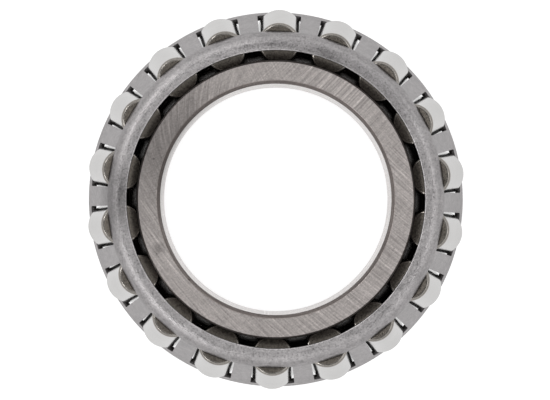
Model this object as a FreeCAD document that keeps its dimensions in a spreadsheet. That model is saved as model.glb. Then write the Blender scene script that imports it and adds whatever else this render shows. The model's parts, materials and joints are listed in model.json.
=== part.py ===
import FreeCAD, Part
import os

import Sketcher

# The cone assembly of a single-row tapered roller bearing: an inner ring, a pressed steel cage
# and eighteen tapered rollers. The bearing axis is Z. The back face (the wide end, where the
# large rib is) lies on Z = 0 and the narrow end faces up. The origin is on the axis at the back
# face. Lengths are millimetres and angles are degrees.
#
# The roller axes and all the roller and raceway lines meet in one apex on the bearing axis above
# the bearing, which is what lets the rollers roll without sliding. Most of the geometry near a
# roller is therefore given "along" the roller axis, measured from the apex, and "across" it,
# positive outwards.

SIZES = (
    ("bore_radius", "20.6375", "bore, 41.275 diameter"),
    ("ring_width", "19.812", "inner ring, back face to front face"),
    ("bore_front_chamfer", "0.62", "chamfer of the bore at the front face"),
    ("bore_back_round", "3.5", "corner radius of the bore at the back face, clears the shaft fillet"),
    ("small_rib_radius", "24.93", "outside of the small rib"),
    ("small_rib_round", "0.38", "edge round of the small rib at the front face"),
    ("large_rib_radius", "29.6", "outside of the large rib"),
    ("large_rib_round", "0.6", "edge rounds of the large rib"),
    ("apex_height", "135.6", "apex of the rolling cones above the back face"),
    ("axis_angle", "13.25", "roller axis to bearing axis"),
    ("taper_angle", "1.75", "half of the roller's included angle"),
    ("roller_start", "121.6", "apex to the roller's small end, along the roller axis"),
    ("roller_length", "13.8", "roller, end to end"),
    ("roller_count", "18", "rollers in the complement"),
    ("small_end_round", "0.5", "edge round of the roller's small end"),
    ("large_end_round", "0.5", "edge round of the roller's large end"),
    ("large_end_sphere", "112.0", "radius of the spherical large end"),
    ("race_clearance", "0.04", "roller to raceway and to the large rib"),
    ("end_play", "0.32", "roller to the small rib"),
    ("relief_width", "0.75", "grinding relief beside each rib, along the raceway"),
    ("relief_depth", "0.28", "grinding relief, below the raceway"),
    ("sheet", "1.0", "thickness of the cage sheet"),
    ("wall_angle", "16.0", "cage wall to bearing axis"),
    ("wall_radius", "30.115", "outside of the cage wall at the top of the pockets"),
    ("wall_end", "1.75", "height of the cage's wide end"),
    ("flange_height", "19.7", "top of the cage flange"),
    ("flange_radius", "26.6", "opening of the cage flange"),
    ("bend_radius", "2.4", "outside of the bend between the wall and the flange"),
    ("edge_round", "0.2", "rounded sheet edges of the cage"),
    ("pocket_top", "17.93", "height of the pocket's narrow end"),
    ("pocket_bottom", "3.7", "height of the pocket's wide end"),
    ("pocket_angle", "6.76", "half of the angle that a pocket takes round the cage"),
    ("pocket_round", "0.45", "corner radius of the pockets"),
    ("pocket_clearance", "0.2", "roller to the coined faces of the pocket"),
    ("side_play", "0.18", "turn of a resting roller from the middle of its pocket"),
)

# Each roller rests against one side of its pocket or floats between them: the sign says which
# way it has rolled, +1 being counter-clockwise seen from the front.
ROLLER_REST = (-1, -1, 0, 1, -1, 0, 0, 1, 1, 1, -1, -1, -1, -1, 1, -1, -1, -1)

doc = FreeCAD.newDocument("tapered_roller_bearing")


def make_sheet():
    """The spreadsheet with the driving dimensions: name, value and meaning in each row."""
    sheet = doc.addObject("Spreadsheet::Sheet", "Sizes")
    for row, (alias, number, meaning) in enumerate(SIZES, start=1):
        sheet.set(f"A{row}", alias)
        sheet.set(f"B{row}", number)
        sheet.setAlias(f"B{row}", alias)
        sheet.set(f"C{row}", meaning)
    doc.recompute()
    return sheet


sheet = make_sheet()


def cells(expression):
    """An expression in which each [name] stands for a cell of the sheet."""
    return expression.replace("[", "Sizes.").replace("]", "")


def value(expression):
    """The number that an expression has now."""
    return float(sheet.evalExpression(cells(expression)))


def roller_point(along, across):
    """Radius and height of a point beside the roller axis, as expressions."""
    axis = "[axis_angle] * 1 deg"
    radius = f"({along}) * sin({axis}) + ({across}) * cos({axis})"
    height = f"[apex_height] - ({along}) * cos({axis}) + ({across}) * sin({axis})"
    return radius, height


def across_at_radius(along, radius):
    """How far across the roller axis a given radius from the bearing axis is reached."""
    return f"(({radius}) - ({along}) * sin([axis_angle] * 1 deg)) / cos([axis_angle] * 1 deg)"


def roller_radius(along):
    """Half the thickness of a roller at a distance from the apex."""
    return f"({along}) * tan([taper_angle] * 1 deg)"


def wall_radius(height):
    """Outside radius of the cage wall at a height."""
    return f"[wall_radius] + ([pocket_top] - ({height})) * tan([wall_angle] * 1 deg)"


ROLLER_SMALL_END = "[roller_start]"
ROLLER_LARGE_END = "[roller_start] + [roller_length]"


def make_body(name):
    body = doc.addObject("PartDesign::Body", name)
    body.Label = name
    return body


def origin_feature(body, role):
    return next(item for item in body.Origin.OriginFeatures if item.Role == role)


def make_sketch(body, name, role):
    """A sketch on one of the body's own origin planes."""
    sketch = body.newObject("Sketcher::SketchObject", name)
    sketch.AttachmentSupport = [(origin_feature(body, role), "")]
    sketch.MapMode = "FlatFace"
    return sketch


def dimension(sketch, kind, where, expression):
    """A dimension of a sketch, bound to the sheet."""
    number = sketch.addConstraint(Sketcher.Constraint(kind, *where, value(expression)))
    sketch.setExpression(f"Constraints[{number}]", cells(expression))


def pin(sketch, geometry, end, point):
    """Holds one end of an element at a point whose coordinates are bound to the sheet."""
    x, y = point
    dimension(sketch, "DistanceX", (-1, 1, geometry, end), x)
    dimension(sketch, "DistanceY", (-1, 1, geometry, end), y)


def draw_outline(sketch, points, close=True):
    """Straight lines through the points, each corner held by the sheet."""
    places = [FreeCAD.Vector(value(x), value(y), 0) for x, y in points]
    ends = places[1:] + places[:1] if close else places[1:]
    lines = [sketch.addGeometry(Part.LineSegment(a, b), False) for a, b in zip(places, ends)]
    for line, point in zip(lines, points):
        pin(sketch, line, 1, point)
    for line, following in zip(lines, lines[1:]):
        sketch.addConstraint(Sketcher.Constraint("Coincident", line, 2, following, 1))
    if close:
        sketch.addConstraint(Sketcher.Constraint("Coincident", lines[-1], 2, lines[0], 1))
    else:
        pin(sketch, lines[-1], 2, points[-1])
    return lines


def turn_about(body, name, kind, sketch, axis):
    """A full Revolution or Groove of a sketch about one of the sketch's axes."""
    feature = body.newObject(kind, name)
    feature.Profile = sketch
    feature.ReferenceAxis = (sketch, [axis])
    feature.Angle = 360
    doc.recompute()
    return feature


def round_edges(body, name, kind, size, corners):
    """A Fillet or Chamfer on the circular edges that pass through the given profile corners."""
    base = body.Tip
    names = []
    for radius, height in corners:
        found = [
            f"Edge{number}" for number, edge in enumerate(base.Shape.Edges, start=1)
            if not edge.Degenerated and isinstance(edge.Curve, Part.Circle)
            and abs(edge.Curve.Radius - value(radius)) < 0.01
            and abs(edge.Curve.Center.z - value(height)) < 0.01
        ]
        if not found:
            raise RuntimeError(f"{name}: no edge at radius {radius}, height {height}")
        names += found
    feature = body.newObject(kind, name)
    feature.Base = (base, names)
    property_name = "Radius" if kind.endswith("Fillet") else "Size"
    feature.setExpression(property_name, cells(size))
    body.Tip = feature
    doc.recompute()
    return feature


def make_inner_ring():
    """The ring that goes on the shaft: bore, raceway, small rib, large rib and reliefs."""
    body = make_body("inner_ring")
    rib_face = f"{ROLLER_LARGE_END} + [race_clearance]"
    race_foot = f"-({roller_radius(rib_face)} + [race_clearance])"
    race_end = f"{rib_face} - [relief_width]"
    small_face = f"{ROLLER_SMALL_END} - [end_play]"
    race_start = f"{small_face} + [relief_width]"
    small_foot = f"-({roller_radius(small_face)} + [race_clearance])"
    large_rib_edge = roller_point(rib_face, across_at_radius(rib_face, "[large_rib_radius]"))
    small_rib_edge = roller_point(small_face, across_at_radius(small_face, "[small_rib_radius]"))
    outline = [
        ("[bore_radius]", "0"),
        ("[large_rib_radius]", "0"),
        large_rib_edge,
        roller_point(rib_face, f"{race_foot} + [relief_width]"),
        roller_point(f"{rib_face} + [relief_depth]", f"{race_foot} + [relief_depth] / 2"),
        roller_point(f"{rib_face} - [relief_depth]", f"{race_foot} - [relief_depth]"),
        roller_point(race_end, f"-({roller_radius(race_end)} + [race_clearance])"),
        roller_point(race_start, f"-({roller_radius(race_start)} + [race_clearance])"),
        roller_point(f"{race_start} - [relief_depth]", f"{small_foot} - [relief_depth]"),
        roller_point(small_face, f"{small_foot} - [relief_depth]"),
        small_rib_edge,
        ("[small_rib_radius]", "[ring_width]"),
        ("[bore_radius]", "[ring_width]"),
    ]
    sketch = make_sketch(body, "ring_profile", "XZ_Plane")
    draw_outline(sketch, outline)
    turn_about(body, "ring_turned", "PartDesign::Revolution", sketch, "V_Axis")
    round_edges(body, "bore_front", "PartDesign::Chamfer", "[bore_front_chamfer]",
                [("[bore_radius]", "[ring_width]")])
    round_edges(body, "bore_back", "PartDesign::Fillet", "[bore_back_round]",
                [("[bore_radius]", "0")])
    round_edges(body, "small_rib_front", "PartDesign::Fillet", "[small_rib_round]",
                [("[small_rib_radius]", "[ring_width]")])
    round_edges(body, "large_rib_edges", "PartDesign::Fillet", "[large_rib_round]",
                [("[large_rib_radius]", "0"), large_rib_edge])
    return body


def make_roller(number):
    """One roller, turned about its own Z with the large end at its origin, then set in place."""
    body = make_body(f"roller_{number:02d}")
    sketch = make_sketch(body, f"{body.Name}_profile", "XZ_Plane")
    small_radius = roller_radius(ROLLER_SMALL_END)
    large_radius = roller_radius(ROLLER_LARGE_END)
    sphere_drop = f"[large_end_sphere] - sqrt(pow([large_end_sphere]; 2) - pow({large_radius}; 2))"
    large_edge = (large_radius, sphere_drop)
    lines = draw_outline(sketch, [
        large_edge,
        (small_radius, "[roller_length]"),
        ("0", "[roller_length]"),
        ("0", "0"),
    ], close=False)

    on_the_way = (f"{large_radius} / 2", f"({sphere_drop}) / 4")
    places = [FreeCAD.Vector(value(x), value(y), 0) for x, y in (("0", "0"), on_the_way, large_edge)]
    end_arc = sketch.addGeometry(Part.Arc(*places), False)
    sketch.addConstraint(Sketcher.Constraint("Coincident", lines[-1], 2, end_arc, 1))
    sketch.addConstraint(Sketcher.Constraint("Coincident", end_arc, 2, lines[0], 1))
    dimension(sketch, "Radius", (end_arc,), "[large_end_sphere]")

    turn_about(body, f"{body.Name}_turned", "PartDesign::Revolution", sketch, "V_Axis")
    round_edges(body, f"{body.Name}_small_end", "PartDesign::Fillet", "[small_end_round]",
                [(small_radius, "[roller_length]")])
    round_edges(body, f"{body.Name}_large_end", "PartDesign::Fillet", "[large_end_round]",
                [large_edge])

    pitch = 360 / value("[roller_count]")
    angle = (number - 1) * pitch + ROLLER_REST[number - 1] * value("[side_play]")
    spin = FreeCAD.Rotation(FreeCAD.Vector(0, 0, 1), angle)
    lean = FreeCAD.Rotation(FreeCAD.Vector(0, 1, 0), -value("[axis_angle]"))
    radius, height = (value(part) for part in roller_point(ROLLER_LARGE_END, "0"))
    foot = spin.multVec(FreeCAD.Vector(radius, 0, height))
    body.Placement = FreeCAD.Placement(foot, spin * lean)
    return body


def make_cage():
    """The pressed cage: one cup of sheet, an inward flange, and a window for each roller."""
    body = make_body("cage")
    bend_corner = (wall_radius("[flange_height]"), "[flange_height]")
    level = "[sheet] / cos([wall_angle] * 1 deg)"
    under_flange = "[flange_height] - [sheet]"
    inside_corner = (f"{wall_radius(under_flange)} - {level}", under_flange)
    flange_lip = ("[flange_radius]", "[flange_height]")
    wide_lip = (wall_radius("[wall_end]"), "[wall_end]")
    sketch = make_sketch(body, "cage_profile", "XZ_Plane")
    draw_outline(sketch, [
        wide_lip,
        bend_corner,
        flange_lip,
        ("[flange_radius]", under_flange),
        inside_corner,
        (f"{wall_radius('[wall_end]')} - {level}", "[wall_end]"),
    ])
    turn_about(body, "cage_turned", "PartDesign::Revolution", sketch, "V_Axis")
    round_edges(body, "bend_outside", "PartDesign::Fillet", "[bend_radius]", [bend_corner])
    round_edges(body, "bend_inside", "PartDesign::Fillet", "[bend_radius] - [sheet]",
                [inside_corner])
    round_edges(body, "sheet_edges", "PartDesign::Fillet", "[edge_round]",
                [flange_lip, wide_lip])
    blank_volume = body.Tip.Shape.Volume

    window = make_sketch(body, "window_profile", "YZ_Plane")
    draw_window(window)
    pocket = body.newObject("PartDesign::Pocket", "window")
    pocket.Profile = window
    pocket.Type = "ThroughAll"
    pocket.Reversed = True
    doc.recompute()
    if not body.Tip.Shape.Volume < blank_volume:
        raise RuntimeError("the window doesn't cut the cage")

    coined = make_sketch(body, "coined_profile", "XZ_Plane")
    start = f"{ROLLER_SMALL_END} - [pocket_clearance]"
    end = f"{ROLLER_LARGE_END} + [pocket_clearance]"
    draw_outline(coined, [
        roller_point(start, "0"),
        roller_point(end, "0"),
        roller_point(end, f"{roller_radius(end)} + [pocket_clearance]"),
        roller_point(start, f"{roller_radius(start)} + [pocket_clearance]"),
    ])
    axis = coined.addGeometry(Part.LineSegment(
        *(FreeCAD.Vector(*(value(part) for part in roller_point(along, "0")), 0)
          for along in (start, end))), True)
    pin(coined, axis, 1, roller_point(start, "0"))
    pin(coined, axis, 2, roller_point(end, "0"))
    groove = turn_about(body, "coined_faces", "PartDesign::Groove", coined, "Axis0")

    pattern = body.newObject("PartDesign::PolarPattern", "windows")
    pattern.Originals = [pocket, groove]
    pattern.Axis = (origin_feature(body, "Z_Axis"), [""])
    pattern.Angle = 360
    pattern.setExpression("Occurrences", cells("[roller_count]"))
    body.Tip = pattern
    doc.recompute()
    return body


def draw_window(sketch):
    """The outline of one window, seen along the radius: a trapezium with rounded corners."""
    def corner(side, height):
        return f"{side} * ({wall_radius(height)}) * tan([pocket_angle] * 1 deg)", height

    lines = draw_outline(sketch, [
        corner(-1, "[pocket_bottom]"),
        corner(1, "[pocket_bottom]"),
        corner(1, "[pocket_top]"),
        corner(-1, "[pocket_top]"),
    ])
    for line in lines:
        sketch.fillet(line, 2, value("[pocket_round]"), True, True)
    for number, shape in enumerate(sketch.Geometry):
        if isinstance(shape, Part.ArcOfCircle):
            dimension(sketch, "Radius", (number,), "[pocket_round]")


def check_document(bodies):
    """Stops if any object failed or any sub-part has no sound shape."""
    for item in doc.Objects:
        if {"Invalid", "Error"} & set(item.State):
            raise RuntimeError(f"{item.Name} failed: {item.State}")
    for body in bodies:
        if body.Shape.isNull() or not body.Shape.isValid() or len(body.Shape.Solids) != 1:
            raise RuntimeError(f"{body.Label} isn't one sound solid")


rollers = [make_roller(number) for number in range(1, int(value("[roller_count]")) + 1)]
bodies = [make_inner_ring(), make_cage()] + rollers
doc.recompute()
check_document(bodies)

os.makedirs("parts", exist_ok=True)
for body in bodies:
    body.Shape.exportStep(f"parts/{body.Label}.step")
    print(f"{body.Label}: {body.Shape.Volume:.1f} mm3, {len(body.Shape.Faces)} faces")
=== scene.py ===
import json
from math import acos, asin, atan, atan2, cos, hypot, pi, radians, sin, sqrt, tan

import bmesh
import bpy
from bpy.props import FloatProperty, FloatVectorProperty, IntProperty, PointerProperty
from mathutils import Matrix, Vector

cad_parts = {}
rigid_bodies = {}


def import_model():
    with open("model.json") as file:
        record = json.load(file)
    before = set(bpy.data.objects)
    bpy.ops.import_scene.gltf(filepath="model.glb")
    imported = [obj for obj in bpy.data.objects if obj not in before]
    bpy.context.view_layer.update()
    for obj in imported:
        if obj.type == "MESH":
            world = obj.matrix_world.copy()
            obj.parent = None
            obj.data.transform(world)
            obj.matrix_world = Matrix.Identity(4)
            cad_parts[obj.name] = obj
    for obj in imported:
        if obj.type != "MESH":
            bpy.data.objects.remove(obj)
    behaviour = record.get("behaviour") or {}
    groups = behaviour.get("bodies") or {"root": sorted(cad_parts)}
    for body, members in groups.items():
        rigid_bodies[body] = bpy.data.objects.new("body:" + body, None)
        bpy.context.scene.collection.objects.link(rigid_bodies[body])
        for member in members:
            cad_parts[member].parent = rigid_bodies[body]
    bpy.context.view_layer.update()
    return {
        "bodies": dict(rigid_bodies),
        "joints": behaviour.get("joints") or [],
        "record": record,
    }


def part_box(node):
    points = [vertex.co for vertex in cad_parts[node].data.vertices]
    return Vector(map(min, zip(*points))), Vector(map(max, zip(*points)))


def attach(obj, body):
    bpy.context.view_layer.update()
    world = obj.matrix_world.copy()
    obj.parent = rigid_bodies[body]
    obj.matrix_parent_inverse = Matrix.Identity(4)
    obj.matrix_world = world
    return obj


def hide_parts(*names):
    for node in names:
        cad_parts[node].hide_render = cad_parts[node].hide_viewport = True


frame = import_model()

# The cone assembly of a tapered roller bearing: inner ring, pressed cage and rollers. The bearing
# axis is Z, the back face lies on Z = 0 and the narrow end faces up. A point of a turned piece is
# given by its radius and height, or beside a roller by its distance "along" the roller axis from
# the apex of the rolling cones and "across" that axis, positive outwards.

bl_info = {
    "name": "Tapered roller bearing cone",
    "version": (1, 0, 0),
    "blender": (4, 5, 0),
    "location": "3D View > Sidebar > Bearing",
    "description": "Makes the inner ring, the cage and the rollers of a tapered roller bearing",
    "category": "Add Mesh",
}

MM = 0.001
SUPPORT = 0.04 * MM  # a straight run gets a second row of points this near to a rounded corner
WELD = 0.5e-6  # points nearer than this are one point
PATH_RADIUS = 10 * MM  # radius of the circle that a profile is swept round


# ---- What the frame says -----------------------------------------------------------------------

def mount(name):
    return next(m for m in frame["record"]["mounts"] if m["name"] == name)


def joint(name):
    return next(j for j in frame["joints"] if j["name"] == name)


ROLLERS = sorted(name for name in frame["bodies"] if name.startswith("roller_"))
FIRST_SPIN = joint(f"{ROLLERS[0]}_spin")
AXIS_ANGLE = acos(FIRST_SPIN["axis"][2])
APEX = FIRST_SPIN["pos_m"][2] + hypot(*FIRST_SPIN["pos_m"][:2]) / tan(AXIS_ANGLE)
BORE_RADIUS = mount("bore")["dims"]["r_mm"] * MM
BORE_LENGTH = mount("bore")["dims"]["length_mm"] * MM
BORE_BACK = mount("bore")["pos_m"][2] - BORE_LENGTH / 2
BORE_FRONT = mount("bore")["pos_m"][2] + BORE_LENGTH / 2
RING_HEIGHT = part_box("inner_ring")[1].z
LARGE_RIB_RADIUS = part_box("inner_ring")[1].x
CAGE_LOW, CAGE_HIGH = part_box("cage")[0].z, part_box("cage")[1].z


def roller_angle(name):
    """Where a roller stands round the bearing."""
    x, y, _ = joint(f"{name}_spin")["pos_m"]
    return atan2(y, x)


def beside_roller(along, across):
    """Radius and height of a point beside the roller axis."""
    return (along * sin(AXIS_ANGLE) + across * cos(AXIS_ANGLE),
            APEX - along * cos(AXIS_ANGLE) + across * sin(AXIS_ANGLE))


def across_at_radius(along, radius):
    return (radius - along * sin(AXIS_ANGLE)) / cos(AXIS_ANGLE)


# ---- Sizes and colours that a user would change -------------------------------------------------

def length_property(name, description, millimetres):
    return FloatProperty(name=name, description=description, default=millimetres * MM,
                         precision=5, unit="LENGTH")


def angle_property(name, description, value):
    return FloatProperty(name=name, description=description, default=radians(value),
                         subtype="ANGLE")


def colour_property(name, description, value):
    return FloatVectorProperty(name=name, description=description, default=value,
                               subtype="COLOR", size=3, min=0, max=1)


def share_property(name, description, value):
    return FloatProperty(name=name, description=description, default=value, min=0, max=1,
                         subtype="FACTOR")


class RingSettings(bpy.types.PropertyGroup):
    small_rib_radius: length_property("Small rib radius", "Outside of the small rib", 24.93)
    small_rib_round: length_property("Small rib round", "Edge round of the small rib", 0.38)
    large_rib_round: length_property("Large rib round", "Edge rounds of the large rib", 0.6)
    race_clearance: length_property("Raceway clearance", "Roller to raceway and rib", 0.04)
    end_play: length_property("End play", "Roller to the small rib", 0.32)
    relief_width: length_property("Relief width", "Grinding relief along the raceway", 0.75)
    relief_depth: length_property("Relief depth", "Grinding relief below the raceway", 0.28)
    edge_break: length_property("Edge break", "Small round on edges left crisp", 0.06)
    scale: share_property("Scale", "Darkness of the heat treatment scale on unground edges", 0.85)
    # painted shade: the raceway and the large rib's face are painted darker for the shade they lie
    # in between the ribs
    darkening: share_property("Raceway shade", "Darkness of the shaded raceway", 0.92)
    matt: share_property("Matt", "Darkness of the coarsely ground front and back faces", 0.40)
    segments: IntProperty(name="Segments", description="Faces round the ring", default=288, min=24)
    colour: colour_property("Steel", "Colour of the ground ring steel", (0.715, 0.69, 0.68))
    roughness: share_property("Roughness", "Roughness of the ground faces", 0.45)


class RollerSettings(bpy.types.PropertyGroup):
    taper_angle: angle_property("Taper angle", "Half of the roller's included angle", 1.75)
    start: length_property("Start", "Apex to the small end, along the roller axis", 121.6)
    length: length_property("Length", "Roller, end to end", 13.8)
    small_round: length_property("Small end round", "Edge round of the small end", 0.5)
    large_round: length_property("Large end round", "Edge round of the large end", 0.5)
    end_sphere: length_property("End sphere", "Radius of the spherical large end", 112.0)
    segments: IntProperty(name="Segments", description="Faces round a roller", default=112, min=24)
    # the ends' darkness is partly their dull unground steel and partly painted shade of the gap
    # they sit in
    end_dull_and_shade: share_property("End darkness", "Darkness of the unpolished ends", 0.77)
    colour: colour_property("Steel", "Colour of the polished roller steel", (0.405, 0.396, 0.387))
    roughness: share_property("Roughness", "Roughness of the rolling face", 0.10)


class CageSettings(bpy.types.PropertyGroup):
    sheet: length_property("Sheet", "Thickness of the sheet", 1.0)
    wall_angle: angle_property("Wall angle", "Cage wall to bearing axis", 16.0)
    wall_radius: length_property("Wall radius", "Outside of the wall at the window tops", 30.115)
    flange_radius: length_property("Flange radius", "Opening of the flange", 26.6)
    bend_radius: length_property("Bend radius", "Outside of the bend", 2.4)
    edge_round: length_property("Edge round", "Rounded edges of the sheet", 0.2)
    window_top: length_property("Window top", "Height of the window's narrow end", 17.93)
    window_bottom: length_property("Window bottom", "Height of the window's wide end", 3.7)
    window_angle: angle_property("Window angle", "Half of the angle a window takes", 6.76)
    window_round: length_property("Window round", "Corner radius of the windows", 0.45)
    window_edge: length_property("Window edge", "Broken edge of the windows", 0.1)
    clearance: length_property("Clearance", "Roller to the coined faces", 0.2)
    colour: colour_property("Steel", "Colour of the pressed sheet steel", (0.343, 0.329, 0.331))
    # the cut faces are dull sheared steel, made darker still by painted shade of the narrow gap
    # beside the rollers
    cut_dull_and_shade: share_property("Cut darkness", "Darkness of the sheared faces", 0.8)
    # painted shade on the inside of the cage, which faces the rollers and lies in shade
    inside_painted_shade: share_property("Inside darkness", "Darkness of the shaded inside", 0.5)
    # painted highlight: the flange's inner edge is painted lighter for the light it catches
    lip_painted_highlight: share_property("Lip shine", "Brightness of the flange's highlighted edge", 0.5)
    # painted shade: a darker band round the bend stands for the darker surroundings it reflects
    bend_painted_shade: share_property("Bend darkness", "Darkness of the dimmed bend", 0.2)
    roughness: share_property("Roughness", "Roughness of the pressed sheet", 0.38)


class StageSettings(bpy.types.PropertyGroup):
    camera_height: length_property("Camera height", "Camera above the front face", 425.0)
    lens: FloatProperty(name="Lens", description="Focal length on a 36 mm sensor", default=156.2,
                        unit="CAMERA")
    roll: angle_property("Roll", "Turn of the camera about its line of sight", -8.92)
    floor_width: length_property("Floor width", "Width of the pale floor", 3000.0)
    floor_drop: length_property("Floor drop", "Floor below the back face", 0.3)


# ---- Profiles ----------------------------------------------------------------------------------

def corner_arc(before, corner, after, radius, steps):
    """Points of a round of the given radius in place of a sharp corner."""
    a, b, c = Vector(before), Vector(corner), Vector(after)
    to_a, to_c = (a - b).normalized(), (c - b).normalized()
    half = to_a.angle(to_c) / 2
    reach = radius / tan(half)
    middle = b + (to_a + to_c).normalized() * (radius / sin(half))
    start, end = b + to_a * reach - middle, b + to_c * reach - middle
    sweep = start.angle_signed(end)
    first = atan2(start.y, start.x)
    return [middle + Vector((cos(first - sweep * k / steps), sin(first - sweep * k / steps)))
            * radius for k in range(steps + 1)]


def support_points(start, end):
    """Points of a straight run next to the rounds at its two ends."""
    run = end - start
    if run.length < 3 * SUPPORT:
        return []
    return [start + run.normalized() * SUPPORT, end - run.normalized() * SUPPORT]


class Corner:
    """A corner of an outline, with how dark its round and the run after it were left."""

    def __init__(self, place, radius=0.0, dark=0.0, run_dark=0.0):
        self.place, self.radius, self.dark, self.run_dark = place, radius, dark, run_dark


def rounded_outline(corners, closed=True):
    """Points (x, y, darkness) of an outline; a corner with no radius stays as it is."""
    count = len(corners)
    pieces = []
    for number, corner in enumerate(corners):
        if corner.radius == 0:
            pieces.append([Vector(corner.place)])
            continue
        before, after = corners[number - 1].place, corners[(number + 1) % count].place
        steps = max(3, round(6 * sqrt(corner.radius / (0.4 * MM))))
        pieces.append(corner_arc(before, corner.place, after, corner.radius, steps))
    points = []
    for number, (corner, piece) in enumerate(zip(corners, pieces)):
        points += [(*point, corner.dark) for point in piece]
        if closed or number + 1 < count:
            run = support_points(piece[-1], pieces[(number + 1) % count][0])
            points += [(*point, corner.run_dark) for point in run]
    return points


def ring_outline(ring, roller):
    """Half of the inner ring's section: bore, back face, ribs, raceway and reliefs."""
    taper = tan(roller.taper_angle)
    rib_face = roller.start + roller.length + ring.race_clearance
    small_face = roller.start - ring.end_play
    race_end = rib_face - ring.relief_width
    race_start = small_face + ring.relief_width
    crisp = ring.edge_break
    # the raceway and the large rib's face take the painted shade darkness
    scale, darkening, matt = ring.scale, ring.darkening, ring.matt

    def race(along, deeper=0.0):
        return -(along * taper + ring.race_clearance + deeper)

    chamfer = RING_HEIGHT - BORE_FRONT
    foot = race(rib_face)
    rib_top = beside_roller(rib_face, across_at_radius(rib_face, LARGE_RIB_RADIUS))
    small_rib_top = beside_roller(small_face, across_at_radius(small_face, ring.small_rib_radius))
    small_foot = race(small_face, ring.relief_depth)
    return rounded_outline([
        Corner((BORE_RADIUS, 0), BORE_BACK, scale, matt),
        Corner((LARGE_RIB_RADIUS, 0), ring.large_rib_round, scale, scale / 2),
        Corner(rib_top, ring.large_rib_round, scale, darkening),
        Corner(beside_roller(rib_face, foot + ring.relief_width), crisp, scale, scale),
        Corner(beside_roller(rib_face + ring.relief_depth, foot + ring.relief_depth / 2), crisp,
               scale, scale),
        Corner(beside_roller(rib_face - ring.relief_depth, foot - ring.relief_depth), 2 * crisp,
               scale, scale),
        Corner(beside_roller(race_end, race(race_end)), crisp, darkening, darkening),
        Corner(beside_roller(race_start, race(race_start)), crisp, scale, scale),
        Corner(beside_roller(race_start - ring.relief_depth, small_foot), crisp, scale, scale),
        Corner(beside_roller(small_face, small_foot), 2 * crisp, scale, scale),
        Corner(small_rib_top, crisp, scale, scale),
        Corner((ring.small_rib_radius, RING_HEIGHT), ring.small_rib_round, 0.95, matt),
        Corner((BORE_RADIUS + chamfer, RING_HEIGHT), 3 * crisp, 0.55, 0.74),
        Corner((BORE_RADIUS, BORE_FRONT), crisp, 0.95),
    ])


def roller_outline(roller):
    """Half of a roller's section in its own frame: large end at height 0, small end up."""
    end = roller.start + roller.length
    large, small = end * tan(roller.taper_angle), roller.start * tan(roller.taper_angle)

    def end_height(radius):
        return roller.end_sphere - sqrt(roller.end_sphere ** 2 - radius ** 2)

    inside = [large * share for share in (0, 0.25, 0.5, 0.75)]
    # the ends are painted dark: partly dull unground steel, partly painted shade
    return rounded_outline(
        [Corner((radius, end_height(radius)), dark=roller.end_dull_and_shade, run_dark=roller.end_dull_and_shade)
         for radius in inside]
        + [Corner((large, end_height(large)), roller.large_round, roller.end_dull_and_shade / 2),
           Corner((small, roller.length), roller.small_round, roller.end_dull_and_shade * 0.5,
                  roller.end_dull_and_shade),
           Corner((0, roller.length), dark=roller.end_dull_and_shade)],
        closed=False)


# ---- Node trees for geometry --------------------------------------------------------------------

def new_tree(name, inputs):
    """A Geometry Nodes tree with one geometry through it and the named inputs."""
    tree = bpy.data.node_groups.new(name, "GeometryNodeTree")
    tree.interface.new_socket("Geometry", in_out="INPUT", socket_type="NodeSocketGeometry")
    for label, kind in inputs:
        tree.interface.new_socket(label, in_out="INPUT", socket_type=kind)
    tree.interface.new_socket("Geometry", in_out="OUTPUT", socket_type="NodeSocketGeometry")
    return tree


def add_node(tree, kind, inputs=(), **settings):
    """A node with its settings and its inputs, each a socket to link or a value."""
    node = tree.nodes.new(kind)
    for key, setting in settings.items():
        setattr(node, key, setting)
    for key, source in dict(inputs).items():
        if isinstance(source, bpy.types.Node):
            source = next(socket for socket in source.outputs if socket.enabled)
        if isinstance(source, bpy.types.NodeSocket):
            tree.links.new(source, node.inputs[key])
        else:
            node.inputs[key].default_value = source
    return node


def finish_tree(tree, geometry, material):
    realized = add_node(tree, "GeometryNodeRealizeInstances", {"Geometry": geometry})
    painted = add_node(tree, "GeometryNodeSetMaterial",
                       {"Geometry": realized, "Material": material})
    add_node(tree, "NodeGroupOutput", {0: painted})
    return tree


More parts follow.
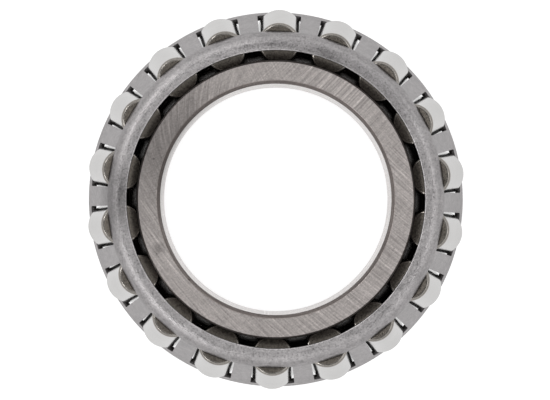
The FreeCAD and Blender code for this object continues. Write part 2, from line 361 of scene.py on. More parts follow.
def turned_part_tree():
    """Sweeps a half section round its axis, keeps its own coordinates, and sets it in place."""
    tree = new_tree("Turned part", (
        ("Segments", "NodeSocketInt"), ("Lean", "NodeSocketFloat"), ("Turn", "NodeSocketFloat"),
        ("Foot radius", "NodeSocketFloat"), ("Foot height", "NodeSocketFloat"),
        ("Part number", "NodeSocketInt"), ("Material", "NodeSocketMaterial")))
    given = add_node(tree, "NodeGroupInput").outputs
    section = add_node(tree, "GeometryNodeMeshToCurve", {"Mesh": given["Geometry"]})
    circle = add_node(tree, "GeometryNodeCurvePrimitiveCircle",
                      {"Resolution": given["Segments"], "Radius": PATH_RADIUS})
    swept = add_node(tree, "GeometryNodeCurveToMesh",
                     {"Curve": circle, "Profile Curve": section})
    closed = add_node(tree, "GeometryNodeMergeByDistance",
                      {"Geometry": swept, "Distance": WELD})
    own = add_node(tree, "GeometryNodeInputPosition")
    marked = add_node(tree, "GeometryNodeStoreNamedAttribute",
                      {"Geometry": closed, "Name": "own_place", "Value": own},
                      data_type="FLOAT_VECTOR", domain="POINT")
    numbered = add_node(tree, "GeometryNodeStoreNamedAttribute",
                        {"Geometry": marked, "Name": "part_number",
                         "Value": given["Part number"]}, data_type="FLOAT", domain="POINT")
    back_lean = add_node(tree, "ShaderNodeMath", {0: given["Lean"], 1: -1.0},
                         operation="MULTIPLY")
    lean = add_node(tree, "ShaderNodeCombineXYZ", {"Y": back_lean})
    foot = add_node(tree, "ShaderNodeCombineXYZ",
                    {"X": given["Foot radius"], "Z": given["Foot height"]})
    leaned = add_node(tree, "GeometryNodeTransform",
                      {"Geometry": numbered, "Rotation": lean, "Translation": foot})
    turn = add_node(tree, "ShaderNodeCombineXYZ", {"Z": given["Turn"]})
    placed = add_node(tree, "GeometryNodeTransform", {"Geometry": leaned, "Rotation": turn})
    smooth = add_node(tree, "GeometryNodeSetShadeSmooth", {"Geometry": placed})
    return finish_tree(tree, smooth, given["Material"])


def repeated_sector_tree():
    """Sets equal sectors round the axis and welds them into one piece."""
    tree = new_tree("Sectors round the axis", (
        ("Sectors", "NodeSocketInt"), ("Material", "NodeSocketMaterial")))
    given = add_node(tree, "NodeGroupInput").outputs
    places = add_node(tree, "GeometryNodeMeshLine",
                      {"Count": given["Sectors"], "Offset": (0, 0, 0)})
    number = add_node(tree, "GeometryNodeInputIndex")
    pitch = add_node(tree, "ShaderNodeMath", {0: 2 * pi, 1: given["Sectors"]},
                     operation="DIVIDE")
    angle = add_node(tree, "ShaderNodeMath", {0: number, 1: pitch}, operation="MULTIPLY")
    turn = add_node(tree, "ShaderNodeCombineXYZ", {"Z": angle})
    turns = add_node(tree, "FunctionNodeEulerToRotation", {"Euler": turn})
    sectors = add_node(tree, "GeometryNodeInstanceOnPoints",
                       {"Points": places, "Instance": given["Geometry"], "Rotation": turns})
    joined = add_node(tree, "GeometryNodeRealizeInstances", {"Geometry": sectors})
    welded = add_node(tree, "GeometryNodeMergeByDistance",
                      {"Geometry": joined, "Distance": WELD})
    smooth = add_node(tree, "GeometryNodeSetShadeSmooth", {"Geometry": welded})
    return finish_tree(tree, smooth, given["Material"])


def run_tree(tree, mesh, name, **values):
    """One plain piece from a mesh put through a tree with the given input values."""
    maker = bpy.data.objects.new(f"{name}_maker", mesh)
    bpy.context.scene.collection.objects.link(maker)
    modifier = maker.modifiers.new("maker", "NODES")
    modifier.node_group = tree
    for item in tree.interface.items_tree:
        key = item.name.lower().replace(" ", "_")
        if item.in_out == "INPUT" and key in values:
            modifier[item.identifier] = values[key]
    evaluated = maker.evaluated_get(bpy.context.evaluated_depsgraph_get())
    made = bpy.data.meshes.new_from_object(evaluated)
    maker.modifiers.remove(modifier)
    bpy.data.objects.remove(maker)
    turn_faces_out(made)
    made.name = name
    piece = bpy.data.objects.new(name, made)
    bpy.context.scene.collection.objects.link(piece)
    return piece


def turn_faces_out(mesh):
    shape = bmesh.new()
    shape.from_mesh(mesh)
    bmesh.ops.recalc_face_normals(shape, faces=shape.faces)
    if shape.calc_volume(signed=True) < 0:
        bmesh.ops.reverse_faces(shape, faces=shape.faces)
    shape.to_mesh(mesh)
    shape.free()


def section_mesh(name, points, closed):
    """A half section as a chain of edges; swept round the axis, its -Y becomes the height."""
    places = [(x - PATH_RADIUS, -y, 0) for x, y, _ in points]
    count = len(places)
    edges = [(k, (k + 1) % count) for k in range(count if closed else count - 1)]
    mesh = bpy.data.meshes.new(name)
    mesh.from_pydata(places, edges, [])
    darkness = mesh.attributes.new("dark", "FLOAT", "POINT")
    darkness.data.foreach_set("value", [dark for _, _, dark in points])
    return mesh


def give_to_frame(piece, node, body):
    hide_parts(node)
    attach(piece, body)


# ---- The cage's sheet ---------------------------------------------------------------------------

class CageSheet:
    """The pressed sheet: a conical wall, a bend and a flange, measured along the outside.

    A place on it is an angle round the bearing, a run up the outside from the wide end, and a
    depth into the sheet.
    """

    def __init__(self, cage, windows):
        self.cage = cage
        self.half_sector = pi / windows
        self.lean = cage.wall_angle
        self.bend_height = CAGE_HIGH - cage.bend_radius
        self.bend_centre = (self.wall_radius(self.bend_height)
                            - cage.bend_radius / cos(self.lean))
        wall_top = self.bend_height + cage.bend_radius * sin(self.lean)
        self.wall_run = (wall_top - CAGE_LOW) / cos(self.lean)
        self.bend_run = cage.bend_radius * (pi / 2 - self.lean)
        self.full_run = (self.wall_run + self.bend_run
                         + self.bend_centre - cage.flange_radius)

    def wall_radius(self, height):
        return self.cage.wall_radius + (self.cage.window_top - height) * tan(self.lean)

    def section(self, run, depth):
        """Radius and height at a run and a depth."""
        if run <= self.wall_run:
            height = CAGE_LOW + run * cos(self.lean)
            radius, tilt = self.wall_radius(height), self.lean
        elif run <= self.wall_run + self.bend_run:
            tilt = self.lean + (run - self.wall_run) / self.cage.bend_radius
            radius = self.bend_centre + self.cage.bend_radius * cos(tilt)
            height = self.bend_height + self.cage.bend_radius * sin(tilt)
        else:
            tilt = pi / 2
            radius = self.bend_centre - (run - self.wall_run - self.bend_run)
            height = CAGE_HIGH
        return radius - depth * cos(tilt), height - depth * sin(tilt)

    def place(self, angle, run, depth):
        radius, height = self.section(run, depth)
        return radius * cos(angle), radius * sin(angle), height

    def darkness(self, run, depth):
        """How dark the sheet is painted: painted shade on the inside and in a band round the bend,
        and a painted highlight at the flange's edge."""
        # painted shade on the inside
        if depth > self.cage.sheet / 2:
            return self.cage.inside_painted_shade
        # painted highlight at the flange's edge
        if run > self.full_run - self.cage.edge_round:
            return -self.cage.lip_painted_highlight
        # painted shade in a band round the bend, darkest a quarter of the way round
        round_the_bend = (run - self.wall_run) / self.bend_run
        return self.cage.bend_painted_shade * max(0.0, 1 - ((round_the_bend - 0.25) / 0.35) ** 2)

    def run_at(self, height, depth):
        """The run whose point at that depth has the given height, on the wall."""
        return (height - CAGE_LOW + depth * sin(self.lean)) / cos(self.lean)


def edge_round_rows(run, inward, radius, depth, deeper, steps=4):
    """Rows (run, depth) of a rounded sheet edge; inward and deeper are +1 or -1."""
    rows = []
    for step in range(steps + 1):
        angle = pi / 2 * step / steps
        rows.append((run + inward * radius * (1 - sin(angle)),
                     depth + deeper * radius * (1 - cos(angle))))
    return rows


def spread(start, end, steps):
    return [start + (end - start) * k / steps for k in range(steps + 1)]


class CageWindow:
    """The loops of points round one window, from the sheet's outside to its inside."""
    CORNER_STEPS = 3  # in each half of a rounded corner
    END_STEPS = 8  # straight part of the narrow and the wide end
    SIDE_STEPS = 14  # straight part of each side
    MARGIN = 0.7 * MM  # from the window to the frame of plain sheet round it

    def __init__(self, sheet, cage, roller):
        self.sheet, self.cage, self.roller = sheet, cage, roller
        self.wide = self.half_width(cage.window_bottom)
        self.narrow = self.half_width(cage.window_top)
        self.lean = atan((self.wide - self.narrow) / (cage.window_top - cage.window_bottom))

    def half_width(self, height):
        return self.sheet.wall_radius(height) * tan(self.cage.window_angle)

    def corner_centre(self, height):
        """Centre of the corner round near one end, at the right hand side."""
        inset = self.cage.window_round
        rise = height - self.cage.window_bottom
        return self.wide - (inset + rise * sin(self.lean)) / cos(self.lean)

    def outline(self, wider):
        """The window seen along the radius, as (y, height) points, widened all round."""
        inset = self.cage.window_round
        low, high = self.cage.window_bottom + inset, self.cage.window_top - inset
        corners = [  # centre y, centre height, and the directions that its round turns between
            (-self.corner_centre(low), low, pi - self.lean, 3 * pi / 2),
            (self.corner_centre(low), low, 3 * pi / 2, 2 * pi + self.lean),
            (self.corner_centre(high), high, self.lean, pi / 2),
            (-self.corner_centre(high), high, pi / 2, pi - self.lean),
        ]

        def on_round(corner, share):
            y, height, start, end = corner
            angle = start + (end - start) * share
            reach = inset + wider
            return y + reach * cos(angle), height + reach * sin(angle)

        points = []
        for number, corner in enumerate(corners):
            following = corners[(number + 1) % 4]
            straight = self.SIDE_STEPS if number % 2 else self.END_STEPS
            steps = self.CORNER_STEPS
            points += [on_round(corner, 0.5 + 0.5 * k / steps) for k in range(steps)]
            start, end = on_round(corner, 1), on_round(following, 0)
            points += [(start[0] + (end[0] - start[0]) * k / straight,
                        start[1] + (end[1] - start[1]) * k / straight)
                       for k in range(straight)]
            points += [on_round(following, 0.5 * k / steps) for k in range(steps)]
        return points

    def coined_half_width(self, height, depth):
        """Half of the width that a roller, with its clearance, takes at a depth in the sheet."""
        radius = self.sheet.wall_radius(height) - depth / cos(self.sheet.lean)
        x = sqrt(radius ** 2 - self.wide ** 2)
        along = x * sin(AXIS_ANGLE) + (APEX - height) * cos(AXIS_ANGLE)
        across = x * cos(AXIS_ANGLE) - (APEX - height) * sin(AXIS_ANGLE)
        reach = along * tan(self.roller.taper_angle) + self.cage.clearance
        return sqrt(max(reach ** 2 - across ** 2, 0))

    def loop(self, wider, depth):
        """The window's edge at a depth, as (angle, run) points."""
        places = []
        for y, height in self.outline(wider):
            coined = self.coined_half_width(height, depth) + max(wider, 0)
            if depth > self.cage.sheet / 3 and abs(y) > 0.8 * self.narrow:
                y = max(abs(y), coined) * (1 if y > 0 else -1)
            run = self.sheet.run_at(height, depth)
            radius, _ = self.sheet.section(run, depth)
            places.append((asin(y / radius), run))
        return places

    def frame_loop(self, depth):
        """The plain rectangle of sheet round the window, with as many points as the window."""
        ends = 2 * self.CORNER_STEPS + self.END_STEPS
        sides = 2 * self.CORNER_STEPS + self.SIDE_STEPS
        low, high = self.frame_runs()
        half = self.sheet.half_sector
        return ([(angle, low) for angle in spread(-half, half, ends)[:-1]]
                + [(half, run) for run in spread(low, high, sides)[:-1]]
                + [(angle, high) for angle in spread(half, -half, ends)[:-1]]
                + [(-half, run) for run in spread(high, low, sides)[:-1]])

    def frame_runs(self):
        low = self.sheet.run_at(self.cage.window_bottom, 0) - self.MARGIN
        high = self.sheet.run_at(self.cage.window_top, self.cage.sheet) + self.MARGIN
        return low, high

    def rows(self):
        """Closed rows from the frame outside, through the window, to the inside.

        Each is a row of places, and how dark its cut face is painted, for dull sheared steel and
        painted shade, or None where there is no cut.
        """
        cage, edge = self.cage, self.cage.window_edge
        outside, inside = self.loop(edge, 0), self.loop(edge, cage.sheet)
        rows = []
        for share in (0, 0.35, 0.7, 0.94):
            rows.append((blend_rows(self.frame_loop(0), outside, share, 0), None))
        # the cut faces take their dull steel darkness with painted shade added
        for run, depth in edge_round_rows(0, 1, edge, 0, 1, steps=3):
            rows.append(([(*place, depth) for place in self.loop(run, depth)],
                         cage.cut_dull_and_shade if depth > edge / 2 else None))
        for depth in spread(edge, cage.sheet - edge, 6)[1:]:
            rows.append(([(*place, depth) for place in self.loop(0, depth)], cage.cut_dull_and_shade))
        for run, depth in reversed(edge_round_rows(0, 1, edge, cage.sheet, -1, steps=3)[:-1]):
            rows.append(([(*place, depth) for place in self.loop(run, depth)], None))
        for share in (0.94, 0.7, 0.35, 0):
            rows.append((blend_rows(self.frame_loop(cage.sheet), inside, share, cage.sheet),
                         None))
        return rows


def blend_rows(first, second, share, depth):
    return [(a + (c - a) * share, b + (d - b) * share, depth)
            for (a, b), (c, d) in zip(first, second)]


def cage_sector_mesh(cage, roller, windows):
    """One sector of the cage with its window, open at the two sides where sectors meet."""
    sheet = CageSheet(cage, windows)
    window = CageWindow(sheet, cage, roller)
    low, high = window.frame_runs()
    columns = spread(-sheet.half_sector, sheet.half_sector,
                     2 * window.CORNER_STEPS + window.END_STEPS)
    edge = cage.edge_round
    bend_end = sheet.wall_run + sheet.bend_run
    flange_edge = sheet.full_run - edge

    up_outside = ([(run, 0) for run in spread(high, bend_end, 10)]
                  + [(bend_end + SUPPORT, 0), (flange_edge - SUPPORT, 0)])
    lip = (edge_round_rows(sheet.full_run, -1, edge, 0, 1)
           + edge_round_rows(sheet.full_run, -1, edge / 2, cage.sheet, -1)[::-1])
    down_inside = [(run, cage.sheet) for run, _ in reversed(up_outside)]
    wide_end = (edge_round_rows(0, 1, edge, 0, 1)
                + edge_round_rows(0, 1, edge / 2, cage.sheet, -1)[::-1])
    wall_foot = [(low, 0), (low / 2, 0), (edge + SUPPORT, 0)]
    foot_inside = [(run, cage.sheet) for run, _ in reversed(wall_foot)]

    shape = bmesh.new()
    dark = shape.verts.layers.float.new("dark")
    for strip in (up_outside + lip + down_inside, wall_foot + wide_end + foot_inside):
        add_grid(shape, [[(*sheet.place(angle, run, depth), sheet.darkness(run, depth))
                          for angle in columns] for run, depth in strip], dark, closed=False)
    add_grid(shape, [[(*sheet.place(*place),
                       sheet.darkness(*place[1:]) if cut is None else cut) for place in row]
                     for row, cut in window.rows()], dark, closed=True)
    bmesh.ops.remove_doubles(shape, verts=shape.verts, dist=WELD)
    mesh = bpy.data.meshes.new("cage_sector")
    shape.to_mesh(mesh)
    shape.free()
    return mesh


def add_grid(shape, rows, dark, closed):
    """Faces between rows of (x, y, z, darkness); a closed row joins its last to its first."""
    made = []
    for row in rows:
        made.append([shape.verts.new(place) for *place, _ in row])
        for vert, (*_, darkness) in zip(made[-1], row):
            vert[dark] = darkness
    count = len(made[0])
    for row, following in zip(made, made[1:]):
        for k in range(count if closed else count - 1):
            shape.faces.new((row[k], row[(k + 1) % count],
                             following[(k + 1) % count], following[k]))


# ---- Materials ----------------------------------------------------------------------------------

def new_material(name, edge_tint=1.0):
    """A metal with an empty tree but for its shader and output."""
    material = bpy.data.materials.new(name)
    material.use_nodes = True
    tree = material.node_tree
    tree.nodes.clear()
    shader = add_node(tree, "ShaderNodeBsdfPrincipled",
                      {"Metallic": 1.0, "Specular Tint": (edge_tint,) * 3 + (1,)})
    add_node(tree, "ShaderNodeOutputMaterial", {"Surface": shader})
    return material, tree, shader


def maths(tree, operation, *values):
    return add_node(tree, "ShaderNodeMath", dict(enumerate(values)), operation=operation)


def mixed(tree, factor, first, second):
    return add_node(tree, "ShaderNodeMix", {"Factor": factor, "A": first, "B": second})


def vectors(tree, operation, first, second):
    key = "Scale" if operation == "SCALE" else 1
    node = add_node(tree, "ShaderNodeVectorMath", {0: first, key: second}, operation=operation)
    return node.outputs["Vector"]


def attribute(tree, name, output="Fac"):
    return add_node(tree, "ShaderNodeAttribute", attribute_name=name).outputs[output]


def noise(tree, vector, scale, detail=2.0, roughness=0.5):
    return add_node(tree, "ShaderNodeTexNoise",
                    {"Vector": vector, "Scale": scale, "Detail": detail,
                     "Roughness": roughness}).outputs["Fac"]


def ranged(tree, value, low, high, to_low, to_high):
    """A value spread from one range to another and held inside it."""
    return add_node(tree, "ShaderNodeMapRange",
                    {"Value": value, "From Min": low, "From Max": high,
                     "To Min": to_low, "To Max": to_high}).outputs["Result"]


def bump(tree, height, distance, under=None):
    inputs = {"Height": height, "Distance": distance}
    if under is not None:
        inputs["Normal"] = under
    return add_node(tree, "ShaderNodeBump", inputs).outputs["Normal"]


def lines_round(tree, place, centre, lines_per_metre, reach, detail=3.0, rise=0.0):
    """Fine lines along circles about a centre, each a reach times longer than it is wide."""
    moved = vectors(tree, "SUBTRACT", place, centre)
    parts = add_node(tree, "ShaderNodeSeparateXYZ", {"Vector": moved}).outputs
    flat = add_node(tree, "ShaderNodeCombineXYZ", {"X": parts["X"], "Y": parts["Y"]})
    radius = add_node(tree, "ShaderNodeVectorMath", {0: flat},
                      operation="LENGTH").outputs["Value"]
    across = maths(tree, "ADD", radius, maths(tree, "MULTIPLY", parts["Z"], rise))
    line_place = vectors(tree, "ADD", vectors(tree, "SCALE", flat, 1 / reach),
                         add_node(tree, "ShaderNodeCombineXYZ", {"Z": across}).outputs[0])
    return noise(tree, line_place, lines_per_metre, detail, 0.6)


def patch(tree, place, centre, inner, outer, ragged=0.0):
    """1 near a centre and 0 away from it, with a ragged border."""
    away = add_node(tree, "ShaderNodeVectorMath", {0: place, 1: centre}, operation="DISTANCE")
    edge = maths(tree, "MULTIPLY_ADD", noise(tree, place, 700, 3.0), ragged,
                 away.outputs["Value"])
    return ranged(tree, edge, inner + ragged / 2, outer + ragged / 2, 1, 0)


def shade_metal(tree, shader, colour, amounts, roughness, relief, depth, tint=None):
    """Joins the changing amounts of a metal to its shader, and a tint of its dark places."""
    shade = 1.0
    for amount in amounts:
        shade = maths(tree, "MULTIPLY", shade, amount)
    if tint is not None:
        plain = add_node(tree, "ShaderNodeCombineXYZ", {"X": 1, "Y": 1, "Z": 1}).outputs[0]
        change = vectors(tree, "SCALE", vectors(tree, "SUBTRACT", tuple(tint[0]), plain), tint[1])
        colour = vectors(tree, "MULTIPLY", tuple(colour), vectors(tree, "ADD", plain, change))
    else:
        colour = tuple(colour)
    tree.links.new(vectors(tree, "SCALE", colour, shade.outputs[0]),
                   shader.inputs["Base Color"])
    tree.links.new(roughness, shader.inputs["Roughness"])
    tree.links.new(bump(tree, relief, depth), shader.inputs["Normal"])


# Middles of the three families of wheel marks on the ring's flat faces, of the patches of stain
# on the ring and the cage's flange, and of a darker patch on the cage.
WHEEL_ACROSS, WHEEL_SECOND, WHEEL_INNER = (0.092, 0.055, 0), (-0.053, 0.108, 0), (0.0104, 0.0146, 0)
SECOND_MARKS, INNER_MARKS = (0.0145, 0.0179, RING_HEIGHT), (-0.0133, 0.0183, RING_HEIGHT)
FACE_FILM, FACE_SMUDGE = (-0.0184, 0.0137, RING_HEIGHT), (-0.0220, -0.0055, RING_HEIGHT)
CAGE_DARK_PATCH, FLANGE_FILM = (-0.0296, 0.0047, CAGE_HIGH), (0.0176, 0.0218, CAGE_HIGH)


def ring_steel(ring):
    """Hardened ring steel: flat faces with crossing wheel marks, turned lines elsewhere."""
    material, tree, shader = new_material("ring_steel_ground", edge_tint=0.85)
    place = add_node(tree, "ShaderNodeTexCoord").outputs["Object"]
    dark = attribute(tree, "dark")
    across = lines_round(tree, place, WHEEL_ACROSS, 3300, 28)
    second = lines_round(tree, place, WHEEL_SECOND, 3600, 30)
    inner = lines_round(tree, place, WHEEL_INNER, 3300, 26)
    turned = lines_round(tree, place, (0, 0, 0), 4200, 40, rise=1.7)
    marks = mixed(tree, patch(tree, place, SECOND_MARKS, 0.004, 0.016, 0.01), across, second)
    marks = mixed(tree, patch(tree, place, INNER_MARKS, 0.006, 0.02, 0.01), marks, inner)
    crossing = mixed(tree, 0.22, marks, second)
    height = add_node(tree, "ShaderNodeSeparateXYZ", {"Vector": place}).outputs["Z"]
    on_face = maths(tree, "MAXIMUM",
                    ranged(tree, height, RING_HEIGHT - 0.05 * MM, RING_HEIGHT - 0.02 * MM, 0, 1),
                    ranged(tree, height, 0.02 * MM, 0.05 * MM, 1, 0))
    finish = mixed(tree, on_face, turned, crossing)
    grain = noise(tree, place, 3600, detail=3.0)
    # real scratches along the wheel marks, painted up to 1.3 times lighter as a painted glint
    scratch_glint = ranged(tree, marks, 0.64, 0.74, 0, 1)
    speck = ranged(tree, noise(tree, place, 900, 1.0), 0.75, 0.79, 0, 1)
    film = patch(tree, place, FACE_FILM, 0.004, 0.017, 0.004)
    smudge = patch(tree, place, FACE_SMUDGE, 0.0002, 0.0014, 0.0016)
    shade = [
        ranged(tree, finish, 0.3, 0.7, 0.6, 1.4),
        ranged(tree, grain, 0.3, 0.7, 0.82, 1.18),
        ranged(tree, scratch_glint, 0, 1, 1.0, 1.3),
        ranged(tree, speck, 0, 1, 1.0, 0.45),
        ranged(tree, film, 0, 1, 1.0, 0.58),
        ranged(tree, smudge, 0, 1, 1.0, 0.6),
        # dark holds the heat treatment scale, the matt faces, and painted shade on the raceway and
        # the large rib's face
        maths(tree, "SUBTRACT", 1.0, dark),
    ]
    rough = ranged(tree, finish, 0.3, 0.7, ring.roughness + 0.05, ring.roughness - 0.05)
    rough = mixed(tree, dark, rough, ring.roughness * 0.55)
    relief = maths(tree, "ADD", finish, maths(tree, "MULTIPLY", grain, 0.3))
    shade_metal(tree, shader, ring.colour, shade, rough.outputs[0], relief, 0.045 * MM,
                tint=((1.12, 1.0, 0.95), dark))
    return material


def roller_steel(roller):
    """Polished roller steel with faint ground lines round the roller, and dull grainy ends darkened
    partly by painted shade.
    """
    material, tree, shader = new_material("roller_steel_polished", edge_tint=0.85)
    own = attribute(tree, "own_place", "Vector")
    dark = attribute(tree, "dark")
    number = attribute(tree, "part_number")
    shift = add_node(tree, "ShaderNodeCombineXYZ", {"Z": maths(tree, "MULTIPLY", number, 0.05)})
    place = vectors(tree, "ADD", own, shift.outputs[0])
    lines = lines_round(tree, place, (0, 0, 0), 5200, 30, rise=1.7)
    grain = noise(tree, place, 3800, detail=3.0)
    tone = noise(tree, place, 180, detail=2.0)
    shade = [
        ranged(tree, lines, 0.3, 0.7, 0.93, 1.07),
        ranged(tree, tone, 0.3, 0.7, 0.96, 1.04),
        maths(tree, "MULTIPLY_ADD", dark, ranged(tree, grain, 0.3, 0.7, -0.6, 0.6), 1.0),
        maths(tree, "SUBTRACT", 1.0, dark),
    ]
    rough = mixed(tree, dark, ranged(tree, lines, 0.3, 0.7, roller.roughness - 0.03,
                                     roller.roughness + 0.04),
                  ranged(tree, grain, 0.3, 0.7, 0.32, 0.5))
    relief = mixed(tree, dark, maths(tree, "MULTIPLY", lines, 0.15), grain)
    shade_metal(tree, shader, roller.colour, shade, rough.outputs[0], relief.outputs[0],
                0.012 * MM, tint=((1.12, 1.0, 0.86), dark))
    return material


def cage_steel(cage):
    """Satin sheet steel, tumbled after pressing: a fine even grain that glints on the bend."""
    material, tree, shader = new_material("cage_steel_satin", edge_tint=0.62)
    place = add_node(tree, "ShaderNodeTexCoord").outputs["Object"]
    dark = attribute(tree, "dark")
    grain = noise(tree, place, 3000, detail=4.0, roughness=0.65)
    dents = noise(tree, place, 1100, detail=2.0)
    tone = noise(tree, place, 240, detail=3.0)
    height = add_node(tree, "ShaderNodeSeparateXYZ", {"Vector": place}).outputs["Z"]
    on_flange = ranged(tree, height, CAGE_HIGH - 0.3 * MM, CAGE_HIGH - 0.05 * MM, 0, 1)
    streaks = ranged(tree, lines_round(tree, place, (0, 0, 0), 700, 5, 5.0), 0.54, 0.7, 0, 1)
    smear = maths(tree, "MULTIPLY", on_flange, streaks)
    pits = maths(tree, "MULTIPLY", on_flange,
                 ranged(tree, noise(tree, place, 2700, 2.0), 0.56, 0.7, 0, 1))
    # a darker patch on one side of the cage
    darkening = patch(tree, place, CAGE_DARK_PATCH, 0.003, 0.0095, 0.005)
    film = maths(tree, "MULTIPLY", on_flange, patch(tree, place, FLANGE_FILM, 0.007, 0.018, 0.006))
    shade = [
        ranged(tree, grain, 0.3, 0.7, 0.72, 1.28),
        ranged(tree, tone, 0.3, 0.7, 0.93, 1.06),
        ranged(tree, smear, 0, 1, 1.04, 0.68),
        ranged(tree, pits, 0, 1, 1.04, 0.6),
        ranged(tree, dents, 0.3, 0.7, 0.91, 1.09),
        ranged(tree, darkening, 0, 1, 1.0, 0.66),
        ranged(tree, film, 0, 1, 1.0, 0.78),
        # dark holds painted shade inside and round the bend, a painted highlight at the lip, and
        # the cut faces' dull steel with painted shade
        maths(tree, "SUBTRACT", 1.0, dark),
    ]
    rough = maths(tree, "ADD", ranged(tree, grain, 0.3, 0.7, cage.roughness - 0.07,
                                      cage.roughness + 0.07),
                  ranged(tree, tone, 0.3, 0.7, -0.03, 0.03))
    relief = maths(tree, "ADD", grain, dents)
    shade_metal(tree, shader, cage.colour, shade, rough.outputs[0], relief, 0.05 * MM)
    return material


# ---- The stage ----------------------------------------------------------------------------------

# The sky's dark top, and its brightness against the cosine of the angle from there.
SKY_TOP = (-0.139, 0.022, 0.99)
SKY = ((0.0, 0.95), (0.1, 0.7), (0.35, 0.9), (0.8, 1.22), (0.93, 0.78), (0.985, 0.2))
SKY_SCALE = 2.0  # a ramp holds colours up to 1, so the levels above are divided by this
# The floor's glow falls between two distances, from one level to another, and further out again.
GLOW_NEAR, GLOW_FAR = (0.08, 0.3, 0.84, 0.55), (0.3, 1.3, 1.0, 0.6)
# Name, angle round the bearing, tilt from its axis, width in metres and power in watts.
SOFTBOXES = (
    ("upper_left_softbox", 132, 31, 0.15, 0.75),
    ("lower_left_softbox", 209, 31, 0.15, 0.75),
    ("right_softbox", -9, 26, 0.2, 0.3),
)
SOFTBOX_DISTANCE = 0.9
CAMERA_SHIFT = (-0.0015, -0.0011)  # the bearing stands a little off the middle of the frame


def floor_material():
    """A pale table lit from below, a little less bright away from its middle."""
    material, tree, shader = new_material("pale_floor")
    place = add_node(tree, "ShaderNodeTexCoord").outputs["Object"]
    away = add_node(tree, "ShaderNodeVectorMath", {0: place}, operation="LENGTH")
    near = ranged(tree, away.outputs["Value"], *GLOW_NEAR)
    far = ranged(tree, away.outputs["Value"], *GLOW_FAR)
    glow = maths(tree, "MULTIPLY", near, far)
    tree.links.new(glow.outputs["Value"], shader.inputs["Emission Strength"])
    for name, setting in (("Metallic", 0.0), ("Base Color", (0.35, 0.35, 0.35, 1)),
                          ("Roughness", 0.9), ("Emission Color", (1, 1, 1, 1))):
        shader.inputs[name].default_value = setting
    return material


def add_floor(stage):
    half = stage.floor_width / 2
    low = -stage.floor_drop
    mesh = bpy.data.meshes.new("floor")
    mesh.from_pydata([(-half, -half, low), (half, -half, low), (half, half, low),
                      (-half, half, low)], [], [(0, 1, 2, 3)])
    mesh.materials.append(floor_material())
    floor = bpy.data.objects.new("floor", mesh)
    bpy.context.scene.collection.objects.link(floor)


def add_sky():
    """A white tent round a dark camera: brightest half way up, greyer near the horizon."""
    world = bpy.data.worlds.new("studio_tent")
    world.use_nodes = True
    tree = world.node_tree
    tree.nodes.clear()
    direction = add_node(tree, "ShaderNodeTexCoord").outputs["Generated"]
    up = add_node(tree, "ShaderNodeVectorMath", {0: direction, 1: SKY_TOP},
                  operation="DOT_PRODUCT")
    ramp = add_node(tree, "ShaderNodeValToRGB", {"Fac": up.outputs["Value"]})
    for number, (place, level) in enumerate(SKY):
        stop = (ramp.color_ramp.elements[number] if number < 2
                else ramp.color_ramp.elements.new(place))
        stop.position = place
        stop.color = (level / SKY_SCALE,) * 3 + (1,)
    background = add_node(tree, "ShaderNodeBackground",
                          {"Color": ramp.outputs["Color"], "Strength": SKY_SCALE})
    add_node(tree, "ShaderNodeOutputWorld", {"Surface": background})
    bpy.context.scene.world = world


def add_softbox(name, angle, tilt, width, watts):
    """A square light that faces the bearing, at an angle round it and a tilt from its axis."""
    light = bpy.data.lights.new(name, "AREA")
    light.size = width
    light.energy = watts
    lamp = bpy.data.objects.new(name, light)
    place = SOFTBOX_DISTANCE * Vector((sin(tilt) * cos(angle), sin(tilt) * sin(angle), cos(tilt)))
    lamp.location = place
    lamp.rotation_euler = place.to_track_quat("Z", "Y").to_euler()
    bpy.context.scene.collection.objects.link(lamp)


def add_camera(stage):
    camera = bpy.data.cameras.new("camera")
    camera.sensor_width = 36.0
    camera.lens = stage.lens
    camera.shift_x, camera.shift_y = CAMERA_SHIFT
    holder = bpy.data.objects.new("camera", camera)
    holder.location = (0, 0, RING_HEIGHT + stage.camera_height)
    holder.rotation_euler = (0, 0, stage.roll)
    bpy.context.scene.collection.objects.link(holder)
    bpy.context.scene.camera = holder


# ---- Operators ----------------------------------------------------------------------------------

class BEARING_OT_inner_ring(bpy.types.Operator):
    """Make the inner ring"""
    bl_idname = "bearing.inner_ring"
    bl_label = "Inner ring"

    def execute(self, context):
        ring, roller = context.scene.bearing_ring, context.scene.bearing_roller
        section = section_mesh("ring_section", ring_outline(ring, roller), closed=True)
        piece = run_tree(turned_part_tree(), section, "inner_ring_ground",
                         segments=ring.segments, material=ring_steel(ring))
        give_to_frame(piece, "inner_ring", "inner_ring")
        return {"FINISHED"}


class BEARING_OT_rollers(bpy.types.Operator):
    """Make the tapered rollers, each at its own place in the cage"""
    bl_idname = "bearing.rollers"
    bl_label = "Rollers"

    def execute(self, context):
        roller = context.scene.bearing_roller
        section = section_mesh("roller_section", roller_outline(roller), closed=False)
        tree, material = turned_part_tree(), roller_steel(roller)
        foot_radius, foot_height = beside_roller(roller.start + roller.length, 0)
        for number, name in enumerate(ROLLERS, start=1):
            piece = run_tree(tree, section, f"{name}_polished", segments=roller.segments,
                             lean=AXIS_ANGLE, turn=roller_angle(name), foot_radius=foot_radius,
                             foot_height=foot_height, part_number=number, material=material)
            give_to_frame(piece, name, name)
        return {"FINISHED"}


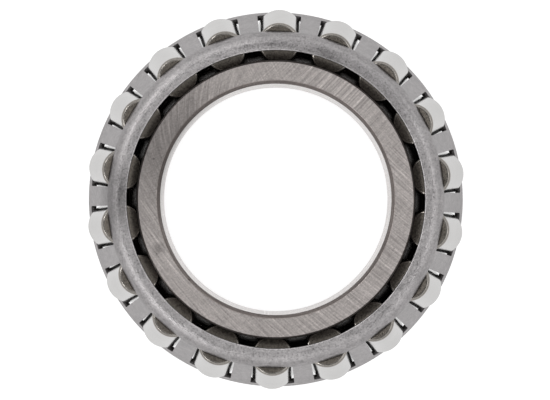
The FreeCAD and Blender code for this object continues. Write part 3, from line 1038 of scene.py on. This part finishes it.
class BEARING_OT_cage(bpy.types.Operator):
    """Make the pressed cage with a window for each roller"""
    bl_idname = "bearing.cage"
    bl_label = "Cage"

    def execute(self, context):
        cage, roller = context.scene.bearing_cage, context.scene.bearing_roller
        sector = cage_sector_mesh(cage, roller, len(ROLLERS))
        piece = run_tree(repeated_sector_tree(), sector, "cage_pressed", sectors=len(ROLLERS),
                         material=cage_steel(cage))
        give_to_frame(piece, "cage", "cage")
        return {"FINISHED"}


class BEARING_OT_stage(bpy.types.Operator):
    """Set the floor, the light and the camera"""
    bl_idname = "bearing.stage"
    bl_label = "Stage"

    def execute(self, context):
        stage = context.scene.bearing_stage
        context.scene.view_settings.view_transform = "Standard"
        add_floor(stage)
        add_sky()
        for name, angle, tilt, width, watts in SOFTBOXES:
            add_softbox(name, radians(angle), radians(tilt), width, watts)
        add_camera(stage)
        return {"FINISHED"}


class BEARING_PT_maker(bpy.types.Panel):
    """The bearing's pieces and their sizes"""
    bl_label = "Tapered roller bearing"
    bl_space_type = "VIEW_3D"
    bl_region_type = "UI"
    bl_category = "Bearing"

    def draw(self, context):
        for operator, group in MAKERS:
            box = self.layout.box()
            box.operator(operator.bl_idname)
            settings = getattr(context.scene, group)
            for name in type(settings).__annotations__:
                box.prop(settings, name)


MAKERS = (
    (BEARING_OT_stage, "bearing_stage"),
    (BEARING_OT_inner_ring, "bearing_ring"),
    (BEARING_OT_cage, "bearing_cage"),
    (BEARING_OT_rollers, "bearing_roller"),
)
SETTINGS = {
    "bearing_stage": StageSettings,
    "bearing_ring": RingSettings,
    "bearing_cage": CageSettings,
    "bearing_roller": RollerSettings,
}


def register():
    for name, group in SETTINGS.items():
        bpy.utils.register_class(group)
        setattr(bpy.types.Scene, name, PointerProperty(type=group))
    for operator, _ in MAKERS:
        bpy.utils.register_class(operator)
    bpy.utils.register_class(BEARING_PT_maker)


def unregister():
    bpy.utils.unregister_class(BEARING_PT_maker)
    for operator, _ in reversed(MAKERS):
        bpy.utils.unregister_class(operator)
    for name, group in SETTINGS.items():
        delattr(bpy.types.Scene, name)
        bpy.utils.unregister_class(group)


def main():
    register()
    bpy.ops.bearing.stage()
    bpy.ops.bearing.inner_ring()
    bpy.ops.bearing.cage()
    bpy.ops.bearing.rollers()


if __name__ == "__main__":
    main()
